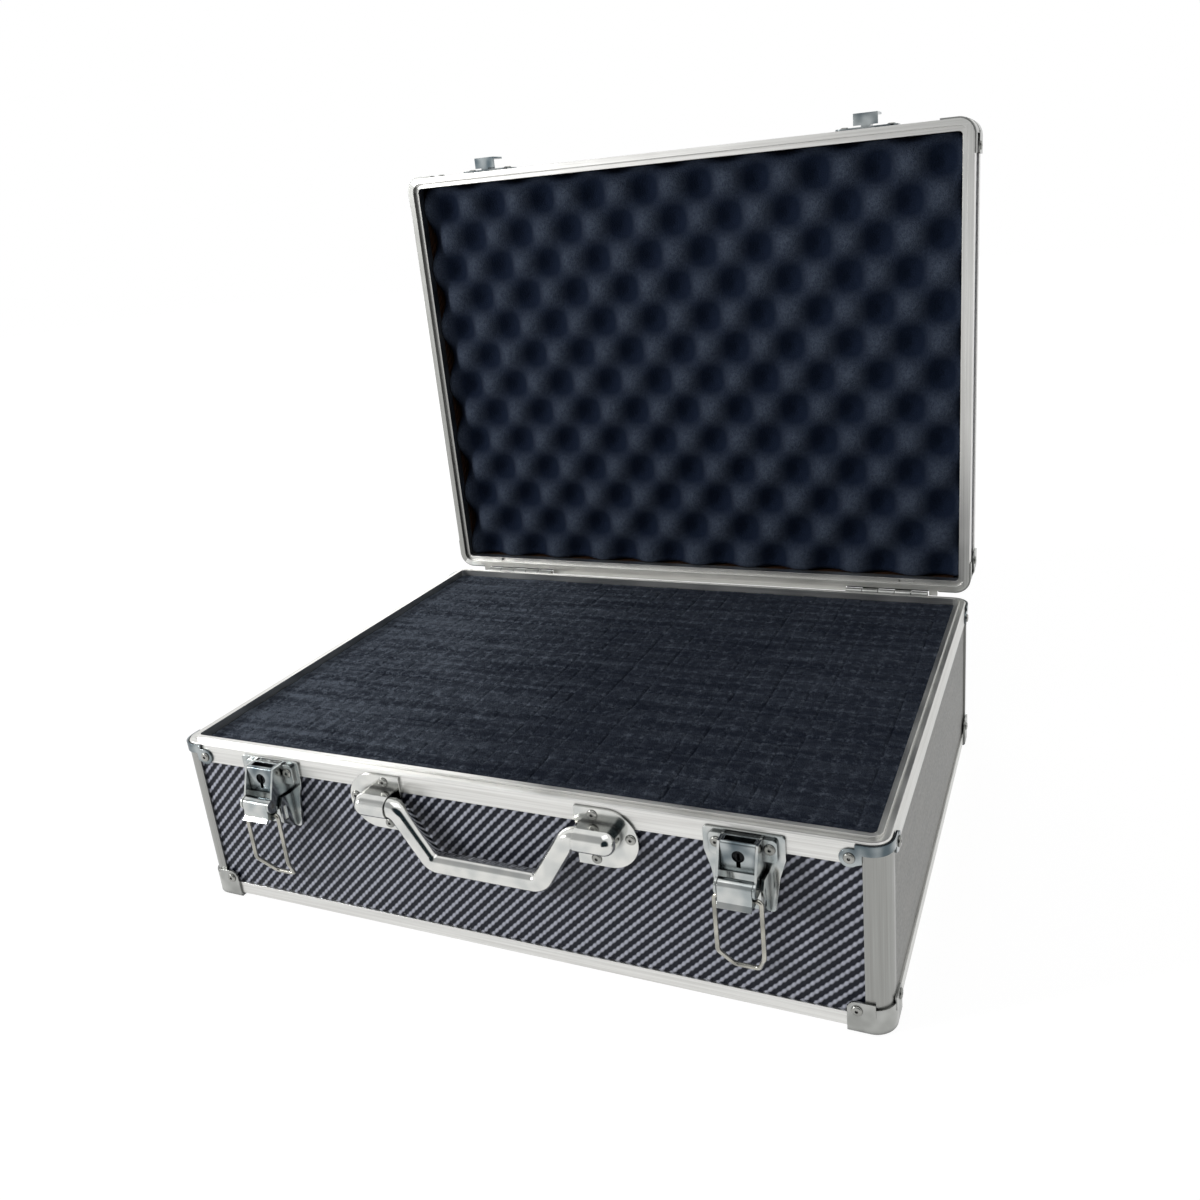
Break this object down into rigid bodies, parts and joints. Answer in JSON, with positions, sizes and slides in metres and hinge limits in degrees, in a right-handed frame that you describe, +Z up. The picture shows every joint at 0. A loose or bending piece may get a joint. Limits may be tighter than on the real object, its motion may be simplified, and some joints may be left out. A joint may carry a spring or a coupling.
{
  "type": "aluminium tool case",
  "caption": "Hinged tool case with an aluminium frame, striped side boards, foam-filled base and lid, folding grip and wire-bail toggle latches.",
  "frame": {"origin": "on the floor, under the middle of the open case's overall box", "axes": "+Z up, -Y towards the front with the handle and latches, +X to the case's right seen from the front"},
  "size_m": [0.4598, 0.4098, 0.4664],
  "materials": {
    "panel": "film-faced board with slanting stripes at the front",
    "profile": "satin anodised",
    "pressing": "plated pressed steel",
    "chromed": "bright plated steel",
    "plug": "dark key face",
    "steel": "satin plated",
    "rivet": "pressed rivet heads",
    "foam": "open-cell foam"
  },
  "bodies": {
    "base": {"base_panel_front": "panel", "base_rim_front": "profile", "base_edge_front": "profile", "base_panel_back": "panel", "base_rim_back": "profile", "base_edge_back": "profile", "base_panel_left": "panel", "base_rim_left": "profile", "base_edge_left": "profile", "base_panel_right": "panel", "base_rim_right": "profile", "base_edge_right": "profile", "base_post_front_left": "profile", "base_foot_corner_front_left": "pressing", "base_post_front_right": "profile", "base_foot_corner_front_right": "pressing", "base_post_back_left": "profile", "base_foot_corner_back_left": "pressing", "base_post_back_right": "profile", "base_foot_corner_back_right": "pressing", "base_rim_brackets": "chromed", "base_floor_panel": "panel", "base_foam_pad": "foam", "base_pluck_foam": "foam", "base_rivets": "rivet", "hinge_pins": "steel", "latch_pins": "steel", "hinge_base_leaf_left": "steel", "handle_mount_left": "chromed", "latch_plate_left": "chromed", "lock_housing_left": "chromed", "hinge_base_leaf_right": "steel", "handle_mount_right": "chromed", "latch_plate_right": "chromed", "lock_housing_right": "chromed"},
    "lid": {"lid_rim_front": "profile", "lid_rim_back": "profile", "lid_rim_left": "profile", "lid_rim_right": "profile", "lid_corner_front_left": "pressing", "lid_corner_front_right": "pressing", "lid_corner_back_left": "pressing", "lid_corner_back_right": "pressing", "lid_walls": "panel", "lid_edges": "profile", "lid_top_panel": "panel", "lid_foam": "foam", "lid_rivets": "rivet", "hinge_lid_leaf_left": "steel", "lid_catch_left": "chromed", "hinge_lid_leaf_right": "steel", "lid_catch_right": "chromed"},
    "handle": {"handle": "chromed"},
    "lever_left": {"latch_lever_left": "chromed"},
    "bail_left": {"latch_bail_left": "chromed"},
    "plug_left": {"lock_plug_left": "plug"},
    "lever_right": {"latch_lever_right": "chromed"},
    "bail_right": {"latch_bail_right": "chromed"},
    "plug_right": {"lock_plug_right": "plug"}
  },
  "joints": [
    {"name": "lid_hinge", "type": "hinge", "parent": "base", "child": "lid", "pos_m": [0, 0.1615, 0.1123], "axis": [-1, 0, 0], "range_deg": [-90, 0]},
    {"name": "handle_swing", "type": "hinge", "parent": "base", "child": "handle", "pos_m": [0, -0.1905, 0.096], "axis": [-1, 0, 0], "range_deg": [0, 95]},
    {"name": "lever_left_throw", "type": "hinge", "parent": "base", "child": "lever_left", "pos_m": [-0.1538, -0.1986, 0.0886], "axis": [-1, 0, 0], "range_deg": [0, 100]},
    {"name": "bail_left_swing", "type": "hinge", "parent": "lever_left", "child": "bail_left", "pos_m": [-0.1538, -0.1981, 0.082], "axis": [1, 0, 0], "range_deg": [-200.43, 0]},
    {"name": "plug_left_turn", "type": "hinge", "parent": "base", "child": "plug_left", "pos_m": [-0.1538, -0.1891, 0.1028], "axis": [0, 1, 0], "range_deg": [0, 90]},
    {"name": "lever_right_throw", "type": "hinge", "parent": "base", "child": "lever_right", "pos_m": [0.1538, -0.1986, 0.0886], "axis": [-1, 0, 0], "range_deg": [0, 100]},
    {"name": "bail_right_swing", "type": "hinge", "parent": "lever_right", "child": "bail_right", "pos_m": [0.1538, -0.1981, 0.082], "axis": [1, 0, 0], "range_deg": [-200.43, 0]},
    {"name": "plug_right_turn", "type": "hinge", "parent": "base", "child": "plug_right", "pos_m": [0.1538, -0.1891, 0.1028], "axis": [0, 1, 0], "range_deg": [0, 90]}
  ]
}
